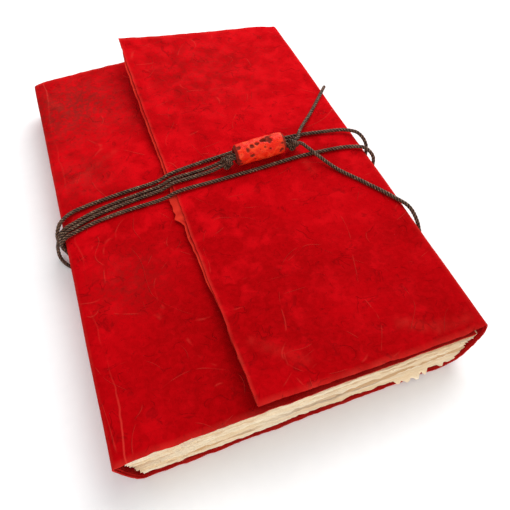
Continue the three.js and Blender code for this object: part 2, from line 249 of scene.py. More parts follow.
TURN_TWO = [
    (-22.4, -8.8, ON_TABLE), (-23.2, -7.9, ON_TABLE), (-26, -6.9, ON_TABLE),
    (-46, -7, ON_TABLE), (-51.2, -7, ON_TABLE + 0.2), (-53, -7, 3.6), (-54.6, -7, 9),
    (-55.4, -6.9, ON_COVER - 1.8), (-53.6, -6.1, ON_COVER - 0.2), (-49, -4.6, ON_COVER),
    (-42, -2.9, ON_COVER), (-32, -1.9, ON_COVER), (-19, -1.8, ON_COVER + 0.3),
    (-13.8, -1.8, ON_FLAP), (0, -1.9, ON_FLAP), (14, -2, ON_FLAP), (30, -1.8, ON_FLAP),
    (40, -2.5, ON_FLAP), (49.1, -4.2, ON_FLAP + 0.1), (54.2, -6.9, ON_FLAP),
    (56, -10, ON_COVER - 0.4), (55.2, -11.6, 11.5), (52.8, -11.6, 4), (50.2, -11.2, ON_TABLE + 0.1),
    (44, -10.8, ON_TABLE), (0, -6.9, ON_TABLE), (-20, -5.3, ON_TABLE), (-46, -5.1, ON_TABLE),
    (-51.2, -5.1, ON_TABLE + 0.2), (-53, -5.1, 3.6), (-54.6, -5.1, 9),
    (-55.4, -4.9, ON_COVER - 1.8), (-53.6, -4.1, ON_COVER - 0.2), (-49, -2.3, ON_COVER),
    (-42, -0.1, ON_COVER), (-34, 1.2, ON_COVER), (-24, 2.2, ON_COVER), (-18.5, 2.6, ON_COVER + 0.3),
    (-14.2, 2.8, ON_FLAP), (-7, 2.9, ON_FLAP), (-0.8, 2.8, ON_FLAP + 0.4), (2.7, 2.3, ON_FLAP + 1.6),
]
TAIL_UP = [
    (33.1, 4.8, ON_FLAP + 2.2), (34.4, 7.1, ON_FLAP + 2.1), (36, 9.4, ON_FLAP + 1.7),
    (38.8, 13, ON_FLAP + 0.6), (43, 17.4, ON_FLAP), (49, 24, ON_FLAP), (55.3, 31, ON_FLAP + 0.1),
]
TAIL_DOWN = [
    (33.1, 2.2, ON_FLAP + 2.2), (34.5, -0.8, ON_FLAP + 2.1), (36, -3.8, ON_FLAP + 1.5),
    (40.2, -12, ON_FLAP + 0.1), (46, -21.4, ON_FLAP), (52.4, -32.2, ON_FLAP),
    (55, -37.2, ON_FLAP - 0.5), (56, -41.4, ON_COVER - 1.6), (55.6, -45, 11.5),
]

def through_bead(side):
    """The strand inside the bead and both knots, from right to left."""
    y = BEAD_MIDDLE.y + side * STRAND
    return [
        (BEAD_HIGH.x + 3, y, BEAD_MIDDLE.z - 1.2),
        (BEAD_HIGH.x - 1, y, BEAD_MIDDLE.z),
        (BEAD_LOW.x + 1, y, BEAD_MIDDLE.z),
        (BEAD_LOW.x - 3, y, BEAD_MIDDLE.z - 1.2),
    ]

cord_route = [
    *TAIL_UP[::-1], *through_bead(1), *TURN_ONE,
    *TURN_TWO, *through_bead(-1)[::-1], *TAIL_DOWN,
]
CORD_STEP = 0.3
cord_line = smooth_line(cord_route, CORD_STEP) * MM

# %% Sweep three laid strands along the route
LOBES = 3
LAY_LENGTH = 3.4 * MM
LOBE_DEPTH = 0.22
RING_POINTS = 15

def sweep(name, line, radius, ring_points, lobes, lay, depth):
    """A closed tube of laid strands, its rings carried along without spinning."""
    along = np.gradient(line, axis=0)
    along /= np.linalg.norm(along, axis=1)[:, None]
    side = np.cross(along[0], (0.3, 0.2, 1))
    side /= np.linalg.norm(side)
    sides = []
    for direction in along:
        side = side - side.dot(direction) * direction
        side = side / np.linalg.norm(side)
        sides.append(side)
    sides = np.array(sides)
    others = np.cross(along, sides)
    travelled = np.concatenate([[0], np.cumsum(np.linalg.norm(np.diff(line, axis=0), axis=1))])
    angle = np.linspace(0, 2 * np.pi, ring_points, endpoint=False)[None, :]
    phase = (2 * np.pi * travelled / lay)[:, None]
    crest = np.abs(np.cos(lobes * (angle - phase) / 2))
    reach = radius * (1 - depth + depth * crest)
    ring = sides[:, None] * np.cos(angle)[..., None] + others[:, None] * np.sin(angle)[..., None]
    points = line[:, None] + ring * reach[..., None]
    count = len(line)
    vertices = np.vstack([points.reshape(-1, 3), line[0], line[-1]])
    faces = [tuple(f) for f in tube_faces(count, ring_points)[:, [0, 3, 2, 1]]]
    last = (count - 1) * ring_points
    for j in range(ring_points):
        k = (j + 1) % ring_points
        faces.append((k, j, count * ring_points))
        faces.append((last + j, last + k, count * ring_points + 1))
    piece = make_object(name, vertices, faces, 80)
    mark_points(piece, "crest", np.append(crest.ravel(), (0, 0)))
    return piece

cord = sweep("waxed_cord", cord_line, CORD / 2 * MM, RING_POINTS, LOBES, LAY_LENGTH, LOBE_DEPTH)
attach(cord, "cord")
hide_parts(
    "cord_turn_1", "cord_turn_2", "cord_tail_up", "cord_tail_down", "cord_in_bead_1", "cord_in_bead_2"
)
print("cord faces:", len(cord.data.polygons))

# %% [markdown]
# ## The knots
# Each knot is an overhand knot in the doubled cord, pulled tight against the bead. A ball would be
# the quick way, but a knot shows the strands passing over each other. A torus knot, wound twice one
# way and three times the other, crosses itself just as a pulled knot does.

# %% Tie the two knots
KNOT_TURN = 1.3
KNOT_SWELL = 0.62
KNOT_REACH = 1.35
KNOT_STRAND = 0.72
KNOT_LAY = 2.4 * MM
KNOT_RING_POINTS = 12

def tie_knot(name, node):
    low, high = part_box(node)
    middle = (low + high) / 2
    t = np.linspace(0, 2 * np.pi, 161)
    reach = KNOT_TURN + KNOT_SWELL * np.cos(3 * t)
    line = np.stack([KNOT_REACH * np.sin(3 * t), reach * np.cos(2 * t), reach * np.sin(2 * t)], -1)
    line = line * MM + np.array(middle)
    knot = sweep(name, line, KNOT_STRAND * MM, KNOT_RING_POINTS, LOBES, KNOT_LAY, LOBE_DEPTH)
    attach(knot, "cord")
    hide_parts(node)
    return knot

knots = [tie_knot("knot_beside_spine_end", "knot_left"), tie_knot("knot_beside_tails", "knot_right")]
print("knots:", len(knots))

# %% [markdown]
# ## The cover: one sheet, followed round the book
# The real cover is a single dyed sheet with a thinner lining pasted inside. It starts under the flap,
# runs to the spine, folds down and under, comes up round the fore-edge and ends as the flap. Five
# boxes would show seams at every crease. Instead one line is followed round the whole book, a point
# on the sheet is known by its distance along that line, and the five pieces are cut from it in places
# that never bend, so they meet exactly. The back cover's pieces are attached to its body. The pieces
# with a crease are left fixed in place and attached to no body.

# %% The line that the cover follows, in X and Z
HALF_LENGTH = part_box("back_cover_outer")[1].y / MM
SHEET = 0.5
LINING = 0.4
LINING_IN = (SHEET + LINING) / 2 + 0.05
FRONT_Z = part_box("front_cover_outer")[1].z / MM - 0.3
FLAP_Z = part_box("flap_outer")[0].z / MM + 0.3
FLAP_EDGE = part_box("flap_outer")[0].x / MM
DENT_MIDDLE, DENT_HALF, DENT_SLOPE, DENT_RISE = -7.0, 8.4, 5.0, 1.9

WRAP = [
    (50, FRONT_Z), (20, FRONT_Z), (-20, FRONT_Z), (-44, FRONT_Z), (-48, FRONT_Z - 0.05),
    (-50, FRONT_Z - 0.15), (-52.4, FRONT_Z - 0.5), (-53.7, FRONT_Z - 1), (-54, FRONT_Z - 1.8),
    (-53.3, 10.2), (-51.8, 6), (-50.5, 2.6), (-49.7, 1), (-48.2, 0.36), (-44, 0.3), (0, 0.3),
    (38, 0.3), (43, 0.42), (46.2, 1.3), (48.3, 3), (50.4, 6.2), (52.2, 10), (53.4, 13.4),
    (53.9, 15.4), (53.4, 16.3), (52, FLAP_Z), (40, FLAP_Z), (0, FLAP_Z), (FLAP_EDGE, FLAP_Z),
]
ROW_STEP = 1.0
wrap_line = smooth_line(WRAP, ROW_STEP)
wrap_way = np.gradient(wrap_line, axis=0)
wrap_way /= np.linalg.norm(wrap_way, axis=1)[:, None]
wrap_out = np.stack([wrap_way[:, 1], -wrap_way[:, 0]], -1)
wrap_run = np.concatenate([[0], np.cumsum(np.linalg.norm(np.diff(wrap_line, axis=0), axis=1))])
print("the cover sheet is", round(wrap_run[-1]), "mm wide before it is folded")

# %% [markdown]
# ### Where the sheet bends, lifts and is worn
# Handmade paper is never flat. Long soft ripples come from drying, the cord presses a dent under the
# book, and the flap's free corners curl up because nothing holds them. These are all small moves of
# the grid's points, which keeps them as real shape in the mesh.

# %% Shape of the sheet
FAR_CURL = 9.6
NEAR_CURL = 3.6
CURL_START = 46.0
CURL_BEND = 1.2
CORNER_SPAN = 5.5
CORNER_CUT = 3.6
FAR_FROM, FAR_BEND = 14, 1.6
NEAR_FROM, NEAR_BEND = 16, 1.4

def dent(y):
    away = np.abs(y - DENT_MIDDLE)
    return DENT_RISE * (1 - soft_step(away, DENT_HALF, DENT_HALF + DENT_SLOPE))

def flap_curl(x, y):
    across = np.clip((CURL_START - x) / (CURL_START - FLAP_EDGE), 0, 1.1)
    far = np.clip((y - FAR_FROM) / (HALF_LENGTH - FAR_FROM), 0, 1)
    near = np.clip((-NEAR_FROM - y) / (HALF_LENGTH - NEAR_FROM), 0, 1)
    return across ** CURL_BEND * (FAR_CURL * far ** FAR_BEND + NEAR_CURL * near ** NEAR_BEND)

def torn_place(y):
    """1 where the lining's torn tongue is, just on the tail side of the cord."""
    return soft_step(y, -15.5, -13) * (1 - soft_step(y, -5, 3)) * (0.75 + 0.25 * np.sin(1.9 * y))

def flap_free_edge(y, inner):
    """Where the flap's torn edge lies, in X. The lining shows past the outer sheet."""
    spots = np.stack([np.zeros_like(y), y, np.zeros_like(y)], -1)
    ragged = 0.45 * ripple(spots, 14, 3) + 0.25 * ripple(spots, 3.2, 4) + 0.12 * ripple(spots, 1.1, 5)
    torn = torn_place(y)
    if inner:
        shows = 0.9 * (1 - soft_step(y, 66, 80)) * soft_step(y, -60, -20)
        return FLAP_EDGE + 0.1 - shows + 1.3 * ragged - torn * (1.9 + 1.3 * ripple(spots, 2.3, 9))
    return FLAP_EDGE + 0.2 + 0.7 * ragged + torn * 0.4

on_flap_from = int(np.argmax((wrap_line[:, 0] > 50) & (wrap_line[:, 1] > FLAP_Z - 0.2)))

# Each wrinkle runs from one point to another, in X and Y on the closed book, and has a height.
WRINKLES = [
    (31, -75, 40, -80, 0.4), (40, -80, 50, -80, 0.35), (-10, -66, 2, -77, 0.25),
    (-51, 74, -44, 60, 0.35), (30, 8, 33, -10, 0.25), (-30, 30, -46, 20, 0.25),
]
WRINKLE_WIDTH = 1.3

def wrinkled(x, y):
    """Height of the small ridges where the paper has been folded by accident."""
    height = np.zeros_like(x)
    for ax, ay, bx, by, high in WRINKLES:
        along = ((x - ax) * (bx - ax) + (y - ay) * (by - ay)) / ((bx - ax) ** 2 + (by - ay) ** 2)
        along = np.clip(along, 0, 1)
        away = np.hypot(x - ax - along * (bx - ax), y - ay - along * (by - ay))
        height = np.maximum(height, high * np.exp(-((away / WRINKLE_WIDTH) ** 2)))
    return height

def cover_points(rows, columns_y, sheet_in, thickness, inner):
    """The middle, outer and inner points of a stretch of the sheet, in millimetres."""
    line, out = wrap_line[rows], wrap_out[rows]
    x0 = line[:, 0] - out[:, 0] * sheet_in
    z0 = line[:, 1] - out[:, 1] * sheet_in
    x, z, run = (np.repeat(v[:, None], len(columns_y), 1) for v in (x0, z0, wrap_run[rows]))
    y = np.repeat(columns_y[None, :], len(rows), 0)
    end_place = run, np.sign(y) * 40, y * 0
    ends = ripple_over(*end_place, 5, 7) + 0.6 * ripple_over(*end_place, 1.6, 8)
    reach = HALF_LENGTH - (0.9 if inner else 0.35) + 0.3 * ends
    corner = np.exp(-(((run - wrap_run[on_flap_from]) / CORNER_SPAN) ** 2)) * (z > 8)
    reach = reach - np.where(y > 0, CORNER_CUT * corner, 0.7 * corner)
    y = y / HALF_LENGTH * reach
    on_flap = rows >= on_flap_from
    flap_start = wrap_line[on_flap_from, 0]
    stretch = (flap_start - flap_free_edge(y[-1], inner)) / (flap_start - wrap_line[-1, 0])
    x[on_flap] = flap_start - (flap_start - x[on_flap]) * stretch[None, :]
    z[on_flap] += flap_curl(x[on_flap], y[on_flap])
    top = z > FRONT_Z - 0.5
    on_show = top & (on_flap[:, None] | (x < FLAP_EDGE))
    z += np.where(on_show, wrinkled(x, y), 0)
    low = 1 - soft_step(z, 0.6, 4.5)
    z += dent(y) * low
    held = 0.25 + 0.75 * soft_step(np.abs(y + 1), 6, 22)
    under = 1 - 0.8 * low
    swell = (0.24 * ripple_over(x, y, z, 34, 1) + 0.07 * ripple_over(x, y, z, 9, 2)) * held * under
    outward = np.stack([out[:, 0], out[:, 0] * 0, out[:, 1]], -1)[:, None, :]
    middle = np.stack([x, y, z], -1) + swell[..., None] * outward
    half = thickness / 2 * outward
    return middle, middle + half, middle - half, np.stack([run, y, run * 0 + inner], -1)

# %% [markdown]
# ### Cutting the pieces and marking wear
# Dye rubs off where paper is folded or handled, and the pale fibres show. The wear is kept as a
# number on each point, so that the finish can read it: high on the ends, on the creases and on the
# flap's torn edge. Two more numbers are kept. One marks brown stains from handling, with one patch
# of painted shade among them. The other is painted shade: darker towards the tail, where the light
# falls off, and beside the flap, as the flap's painted shadow, with a little random drift in the dye.

# %% Cut a piece from the sheet
COLUMN_STEP = 1.9
columns_y = np.linspace(-HALF_LENGTH, HALF_LENGTH, int(2 * HALF_LENGTH / COLUMN_STEP) + 1)
# Brown stains from handling, as x, y, size and strength. The patch at (-38, -30), on the spine side of the
# tail half, is painted shade.
STAINS_AND_SHADE = [(-40, 62, 15, 0.75), (-44, 22, 9, 0.35), (-22, 48, 8, 0.3), (-38, -30, 8, 0.25), (12, 60, 20, 0.25)]
CREASES = [(-53.9, FRONT_Z - 1.6), (53.8, 15.9)]

def mark_wear(middle, edge_x, inner):
    x, y, z = np.moveaxis(middle, -1, 0)
    patchy = 0.55 + 0.45 * ripple_over(x, y, z, 6, 11)
    fine = 0.5 + 0.5 * ripple_over(x, y, z, 2, 12)
    wear = (1 - soft_step(HALF_LENGTH - 0.3 - np.abs(y), 0.0, 1.0)) * 0.35 * patchy
    for cx, cz in CREASES:
        away = np.hypot(x - cx, z - cz)
        wear = np.maximum(wear, (1 - soft_step(away, 0.2, 1.3)) * 0.4 * patchy)
    wear = np.maximum(wear, 0.5 * wrinkled(x, y) * (z > FRONT_Z) * fine)
    if edge_x is not None:
        near_edge = 1 - soft_step(x - edge_x[None, :], 0.1, 1.1)
        wear = np.maximum(wear, near_edge * (0.9 if inner else 0.4) * patchy)
        if inner:
            wear = np.maximum(wear, 0.55 * torn_place(y) * (1 - soft_step(x, FLAP_EDGE + 0.6, FLAP_EDGE + 2)))
    return np.clip(wear * (0.7 + 0.5 * fine), 0, 1)

# Brown handling stains on the front cover and flap, with one patch of painted shade among them.
def mark_stains_and_shade(middle):
    x, y = middle[..., 0], middle[..., 1]
    stain_and_shade = np.zeros_like(x)
    for sx, sy, size, strength in STAINS_AND_SHADE:
        stain_and_shade = np.maximum(stain_and_shade, strength * np.exp(-((x - sx) ** 2 + (y - sy) ** 2) / (2 * size ** 2)))
    return np.where(middle[..., 2] > 8, stain_and_shade, 0)

def mark_painted_shade_and_dye(middle):
    """Painted shade: the tail half of the cover is a deeper red where the light falls off, and the front
    cover beside and under the flap is darker, as the flap's painted shadow. A little random drift in the dye
    is added.
    """
    x, y, z = np.moveaxis(middle, -1, 0)
    # Painted shade: the cover darkens towards the tail, where the light falls off.
    painted_tail_shade = soft_step(-y, -35, 70)
    drift = 0.10 * ripple_over(x, y, z, 40, 14)
    # Painted shadow of the raised flap, on the front cover beside and under it.
    painted_flap_shadow = soft_step(x, -45, FLAP_EDGE) * (z < FLAP_Z - 1) * (z > 8) * 0.25
    return np.clip((0.5 + painted_flap_shadow) * painted_tail_shade + drift, 0, 0.85)

def cut_piece(name, rows, inner, with_free_edge=False):
    sheet_in, thickness = (LINING_IN, LINING) if inner else (0, SHEET)
    middle, outside, inside, flat = cover_points(rows, columns_y, sheet_in, thickness, inner)
    vertices, faces = slab(outside * MM, inside * MM)
    piece = make_object(name, vertices, faces[:, ::-1], 50)
    edge_x = flap_free_edge(middle[-1, :, 1], inner) if with_free_edge else None
    # Wear; brown stains with one patch of painted shade; and painted shade towards the tail and beside the
    # flap.
    wear, stain_and_shade, painted_shade_and_dye = mark_wear(middle, edge_x, inner), mark_stains_and_shade(middle), mark_painted_shade_and_dye(middle)
    for label, values in (("wear", wear), ("stain_and_shade", stain_and_shade), ("painted_shade_and_dye", painted_shade_and_dye)):
        mark_points(piece, label, np.tile(values.ravel(), 2))
    layer = piece.data.attributes.new("flat", "FLOAT_VECTOR", "POINT")
    layer.data.foreach_set("vector", (np.tile(flat.reshape(-1, 3), (2, 1)) * MM).ravel().astype(np.float32))
    return piece

def row_where(test):
    return int(np.argmax(test))

mid_spine = row_where((wrap_line[:, 0] < -50) & (wrap_line[:, 1] < 8))
under_spine = row_where((wrap_line[:, 1] < 1) & (wrap_line[:, 0] > -36))
under_fore = row_where((wrap_line[:, 1] < 1) & (wrap_line[:, 0] > 36))
past_fore = np.arange(len(wrap_line)) > under_fore
mid_fore = row_where((wrap_line[:, 0] > 50) & (wrap_line[:, 1] > 8) & past_fore)
last_row = len(wrap_line) - 1
print("rows of the sheet:", 0, mid_spine, under_spine, under_fore, mid_fore, last_row)

STRETCHES = {
    "front_cover": (0, mid_spine, ("spine", "front_cover"), (-53.8, 0, 12.2), (-53.4, 0, 14)),
    "spine": (mid_spine, under_spine, ("back", "spine"), (-47.5, 0, 0.3), (-50.8, 0, 3.6)),
    "back_cover": (under_spine, under_fore, ("back",), None, None),
    "fore_edge": (under_fore, mid_fore, ("back", "fore_edge"), (44, 0, 0.3), (49.3, 0, 4.2)),
    "flap": (mid_fore, last_row, ("fore_edge", "flap"), (53.4, 0, 11.8), (52.9, 0, 15.3)),
}
cover_sheets, lining_sheets = [], []
for part, (first, last, bodies, start, end) in STRETCHES.items():
    rows = np.arange(first, last + 1)
    for inner, layer_name, group in ((False, "outer", cover_sheets), (True, "lining", lining_sheets)):
        piece = cut_piece(f"{part}_{layer_name}_sheet", rows, inner, part == "flap")
        if start is None:
            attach(piece, bodies[0])
        else:
            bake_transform(piece)
        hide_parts(f"{part}_{layer_name}")
        group.append(piece)
print("cover faces:", sum(len(p.data.polygons) for p in cover_sheets + lining_sheets))

# %% [markdown]
# ## The text block
# Eight folded groups of thick rag paper are sewn together. Each leaf kept its deckle, the feathered
# edge left by the papermaker's frame, so no two leaves end in the same place. A single block with a
# striped finish would look printed. Each leaf is its own thin slab instead: rings of points step in
# from a ragged outline, and the outermost ring is squeezed thin.

# %% Make one leaf
LEAVES = 5
SECTIONS = 8
PITCH = (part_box("section_8")[0].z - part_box("section_7")[0].z) / MM
BLOCK_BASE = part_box("section_8")[0].z / MM - (SECTIONS - 1) * PITCH
LEAF_STEP = 0.27
INSETS = (0, 0.35, 1.1, 3, 9)
EDGE_MARKS = (1, 0.8, 0.4, 0.08, 0)
EDGE_SHARES = (0.25, 0.85, 1, 1, 1)
FIRST_SEED = 10
draw = random.Random(11)

def outline():
    """Points round a leaf, closest together along its tail edge, with the way out of the leaf."""
    left, right = (corner.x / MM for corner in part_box("section_1"))
    low, high = -HALF_LENGTH + 1.0, HALF_LENGTH - 1.0
    sides = [
        ((left, low), (right, low), (0, -1), 0.75), ((right, low), (right, high), (1, 0), 2.2),
        ((right, high), (left, high), (0, 1), 2.2), ((left, high), (left, low), (-1, 0), 3.0),
    ]
    points, ways = [], []
    for (ax, ay), (bx, by), way, step in sides:
        count = int(math.hypot(bx - ax, by - ay) / step)
        for t in np.arange(count) / count:
            points.append((ax + (bx - ax) * t, ay + (by - ay) * t))
            ways.append(way)
    return np.array(points), np.array(ways, float)

leaf_outline, leaf_way = outline()
MIDDLE = np.array([leaf_outline[:, 0].min() + np.ptp(leaf_outline[:, 0]) / 2, 0])

def widen(level):
    """How far the fold and the fore-edge of a leaf at this height stand out past the lowest ones."""
    (left, right), (top_left, top_right) = (
        [corner.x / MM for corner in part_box(node)] for node in ("section_1", "section_8")
    )
    share = (level - BLOCK_BASE) / ((SECTIONS - 1) * PITCH)
    return (top_left - left) * share + 0.1, (top_right - right) * share + 0.2

def deckle(seed, offset, pull_in):
    """How far each point of the outline is pushed out, in millimetres."""
    spots = np.column_stack([leaf_outline, np.full(len(leaf_outline), seed * 3.7)])
    push = 0.45 * ripple(spots, 7, seed) + 0.40 * ripple(spots, 1.7, seed + 1) + offset - pull_in
    fore = leaf_way[:, 0] > 0
    push = np.where(fore, push * 1.7 - 0.3, push)
    return np.where(leaf_way[:, 0] < 0, 0.1 * ripple(spots, 9, seed), push)

GAP_LEAVES = (FIRST_SEED + 27, FIRST_SEED + 32)
GAP_AT, GAP_WIDTH, GAP_DEPTH = 45, 2.6, 3.4
LIP_REACH, LIP_DROOP = 2.3, 0.9
TORN_LIPS = [(27.4, 1.1, 0.7), (30.3, 1.4, 0.9), (33.4, 1.3, 1.1), (36.2, 0.8, 0.8), (41.8, 0.9, 0.5)]

def torn_tongues(seed, lowest):
    """A few leaves end in a torn lip; the lowest leaf has one that hangs over the cover."""
    x, tail = leaf_outline[:, 0], leaf_way[:, 1] < 0
    push, droop = np.zeros(len(x)), np.zeros(len(x))
    notch = np.exp(-(((x - GAP_AT) / GAP_WIDTH) ** 2))
    if GAP_LEAVES[0] <= seed < GAP_LEAVES[1]:
        push -= np.where(tail, GAP_DEPTH * notch, 0)
    if lowest:
        lip = sum(size * np.exp(-(((x - at) / width) ** 2)) for at, width, size in TORN_LIPS)
        push += np.where(tail, LIP_REACH * lip, 0)
        droop += np.where(tail, LIP_DROOP * np.minimum(lip, 1), 0)
    return push, droop

def leaf(level, thickness, seed, offset, pull_in, share, lowest=False):
    push = deckle(seed, offset, pull_in)
    extra, droop = torn_tongues(seed, lowest)
    push = push + extra
    spots = np.column_stack([leaf_outline, np.full(len(leaf_outline), 5.0)])
    group = sum(seed - FIRST_SEED >= k * LEAVES + i for k, i in GROUP_ENDS)
    calm = 1 - 0.6 * soft_step(level, 9, 13)
    wave = calm * (0.07 * ripple(spots, 26, 31) + 0.10 * ripple(spots + group * 9.0, 18, 33))
    rings = []
    left_out, right_out = widen(level)
    across = (leaf_outline[:, 0] - leaf_outline[:, 0].min()) / np.ptp(leaf_outline[:, 0])
    spread = np.column_stack([left_out + (right_out - left_out) * across, across * 0])
    for inset, edge_share in zip(INSETS, EDGE_SHARES):
        shrink = 1 - inset / np.array([47.5, HALF_LENGTH])
        xy = MIDDLE + (leaf_outline + spread - MIDDLE) * shrink
        xy = xy + leaf_way * (push * max(0, 1 - inset / 3))[:, None]
        fade = max(0.0, 1 - inset / 9)
        z = level + wave * fade + dent(xy[:, 1]) * share - droop * max(0, 1 - inset / 1.2)
        rings.append((xy, z, thickness / 2 * edge_share))
    top = [np.column_stack([xy, z + half]) for xy, z, half in rings]
    bottom = [np.column_stack([xy, z - half]) for xy, z, half in rings]
    count = len(leaf_outline)
    loops = [*top[::-1], *bottom]
    vertices = np.vstack([*loops, [[*MIDDLE, level + thickness / 2], [*MIDDLE, level - thickness / 2]]])
    faces = [tuple(f) for f in tube_faces(len(loops), count)]
    end = (len(loops) - 1) * count
    for j in range(count):
        k = (j + 1) % count
        faces.append((j, k, len(vertices) - 2))
        faces.append((end + k, end + j, len(vertices) - 1))
    return vertices, faces

# %% Stack the leaves into sections
GROUP_ENDS = {(1, 2): 0.9, (2, 4): 1.6, (3, 3): 0.8, (5, 1): 1.8, (5, 2): 1.5, (6, 4): 1.1}

def stack_section(number):
    k = number - 1
    vertices, faces, start = [], [], 0
    ring_marks = np.repeat(EDGE_MARKS[::-1] + EDGE_MARKS, len(leaf_outline))
    for i in range(LEAVES):
        level = BLOCK_BASE - 0.05 + k * PITCH + (i + 0.5) * LEAF_STEP
        below = 1 - min(1, (k * LEAVES + i) / (SECTIONS / 2 * LEAVES))
        pull_in = GROUP_ENDS.get((k, i), 0)
        thickness = LEAF_STEP * (0.85 if pull_in == 0 else 0.35)
        offset = draw.uniform(-0.4, 0.35)
        seed = FIRST_SEED + k * LEAVES + i
        points, loops = leaf(level, thickness, seed, offset, pull_in, below, number + i == 1)
        vertices.append(points)
        faces += [tuple(v + start for v in f) for f in loops]
        start += len(points)
    piece = make_object(f"pages_{number}", np.vstack(vertices) * MM, faces, 60)
    mark_points(piece, "edge", np.tile(np.append(ring_marks, (0, 0)), LEAVES))
    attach(piece, "back" if number <= SECTIONS // 2 else f"leaves_{number}")
    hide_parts(f"section_{number}")
    return piece

pages = [stack_section(number) for number in range(1, SECTIONS + 1)]
print("leaves:", SECTIONS * LEAVES, "faces:", sum(len(p.data.polygons) for p in pages))

# %% [markdown]
# ## Sewing thread
# A linen thread runs along the fold of each section and dips in and out at the sewing holes. It is
# swept like the cord, much thinner, along a line that weaves a little.

# %% Sew each section
THREAD = 0.5
SEWING_STEP = 12.0
THREAD_LAY = 2.5 * MM
THREAD_RING_POINTS, THREAD_LOBES, THREAD_DEPTH = 8, 2, 0.25

def sew(number):
    low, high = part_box(f"thread_{number}")
    middle = (low + high) / 2 / MM
    y = np.arange(low.y / MM + 0.3, high.y / MM - 0.3, 0.9)
    x = middle.x + 0.06 * np.sin(2 * np.pi * y / SEWING_STEP)
    line = np.column_stack([x, y, np.full(len(y), middle.z)]) * MM
    thread = sweep(
        f"sewing_{number}", line, THREAD / 2 * MM, THREAD_RING_POINTS, THREAD_LOBES, THREAD_LAY, THREAD_DEPTH
    )
    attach(thread, "back" if number <= SECTIONS // 2 else f"leaves_{number}")
    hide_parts(f"thread_{number}")
    return thread

threads = [sew(number) for number in range(1, SECTIONS + 1)]
print("threads:", len(threads))

# %% [markdown]
# ## The bead
# The bead is a short barrel of coral, drilled for two cords and full of little pits. It is turned
# like a pot: an outline goes out along the barrel and back through the bore, and is spun round the
# axis. Then each pit pushes the points near it inwards, so the pits are real hollows.

# %% Turn and pit the bead
BEAD_RADIUS = (BEAD_HIGH.z - BEAD_LOW.z) / 2
BEAD_HALF = (BEAD_HIGH.x - BEAD_LOW.x) / 2
BORE = 2.1
PITS = 120
BEAD_SIDES = 96

def bead_outline():
    barrel = np.linspace(-BEAD_HALF + 0.25, BEAD_HALF - 0.25, 70)
    bulge = BEAD_RADIUS - 0.12 - 0.18 * (barrel / BEAD_HALF) ** 2
    shoulder = np.clip((np.abs(barrel) - (BEAD_HALF - 1.3)) / 1.05, 0, 1)
    bulge -= 0.75 * shoulder ** 2.4
    face = [(BEAD_HALF, BEAD_RADIUS - 1.15), (BEAD_HALF, BORE + 0.1)]
    bore = [(x, BORE) for x in np.linspace(BEAD_HALF - 0.15, -BEAD_HALF + 0.15, 12)]
    return [*zip(barrel, bulge), *face, *bore, *[(-x, r) for x, r in face[::-1]]]

def turn_bead():
    around = BEAD_SIDES
    profile = np.array(bead_outline())
    angle = np.linspace(0, 2 * np.pi, around, endpoint=False)
    x = np.repeat(profile[:, 0][:, None], around, 1)
    r = np.repeat(profile[:, 1][:, None], around, 1)
    chance = random.Random(5)
    barrel = r > BORE + 0.6
    place = np.stack([x, r * np.cos(angle)[None, :], r * np.sin(angle)[None, :]], -1)
    uneven = 1 + 0.45 * ripple(place.reshape(-1, 3), 0.9, 23).reshape(x.shape)
    for _ in range(PITS):
        at, turn = chance.uniform(-BEAD_HALF, BEAD_HALF), chance.uniform(0, 2 * np.pi)
        size = 0.25 + 0.85 * chance.random() ** 2.5
        depth = size * chance.uniform(0.35, 0.6)
        across = (angle[None, :] - turn + np.pi) % (2 * np.pi) - np.pi
        away = np.hypot((x - at) * chance.uniform(0.7, 1.2), across * BEAD_RADIUS) / size * uneven
        r = np.where(barrel, r - depth * np.exp(-(away ** 4)), r)
    y, z = r * np.cos(angle)[None, :], r * np.sin(angle)[None, :]
    spots = np.stack([x, y, z], -1)
    rough = ripple(spots.reshape(-1, 3), 3.2, 21).reshape(x.shape) * 0.16
    rough += ripple(spots.reshape(-1, 3), 0.8, 22).reshape(x.shape) * 0.05
    scale = np.where(barrel, 1 + rough / BEAD_RADIUS - 0.03, 1)[..., None]
    points = spots * np.concatenate([np.ones_like(scale), scale, scale], -1)
    faces = tube_faces(len(profile), around, closed=True)
    vertices = (points.reshape(-1, 3) + np.array(BEAD_MIDDLE)) * MM
    piece = make_object("coral_barrel", vertices, faces, 60)
    hollow = np.clip((BEAD_RADIUS - 0.2 - np.hypot(points[..., 1], points[..., 2])) / 0.45, 0, 1)
    mark_points(piece, "hollow", hollow.ravel())
    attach(piece, "bead")
    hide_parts("bead")
    return piece

bead = turn_bead()
print("bead faces:", len(bead.data.polygons))

# %% [markdown]
# ## Helpers for finishes
# A finish is a small tree of nodes. Every one here reads a place on the piece, makes noise at a few
# sizes, turns that into masks, mixes colours by the masks and raises a little relief. Noise sizes are
# given in millimetres, because paper fibres and dye blots have real sizes. The cover's place comes
# from the flat sheet, so the pattern stays on the paper when the cover bends.

# %% Node helpers
def new_finish(name, roughness, specular):
    finish = bpy.data.materials.new(name)
    finish.use_nodes = True
    shader = finish.node_tree.nodes["Principled BSDF"]
    shader.inputs["Roughness"].default_value = roughness
    shader.inputs["Specular IOR Level"].default_value = specular
    return finish, finish.node_tree, shader

def plug(tree, socket, value):
    if isinstance(value, bpy.types.NodeSocket):
        tree.links.new(value, socket)
    else:
        socket.default_value = value

def point_mark(tree, label, output="Fac"):
    reader = tree.nodes.new("ShaderNodeAttribute")
    reader.attribute_name = label
    return reader.outputs[output]

def own_place(tree):
    return tree.nodes.new("ShaderNodeTexCoord").outputs["Object"]

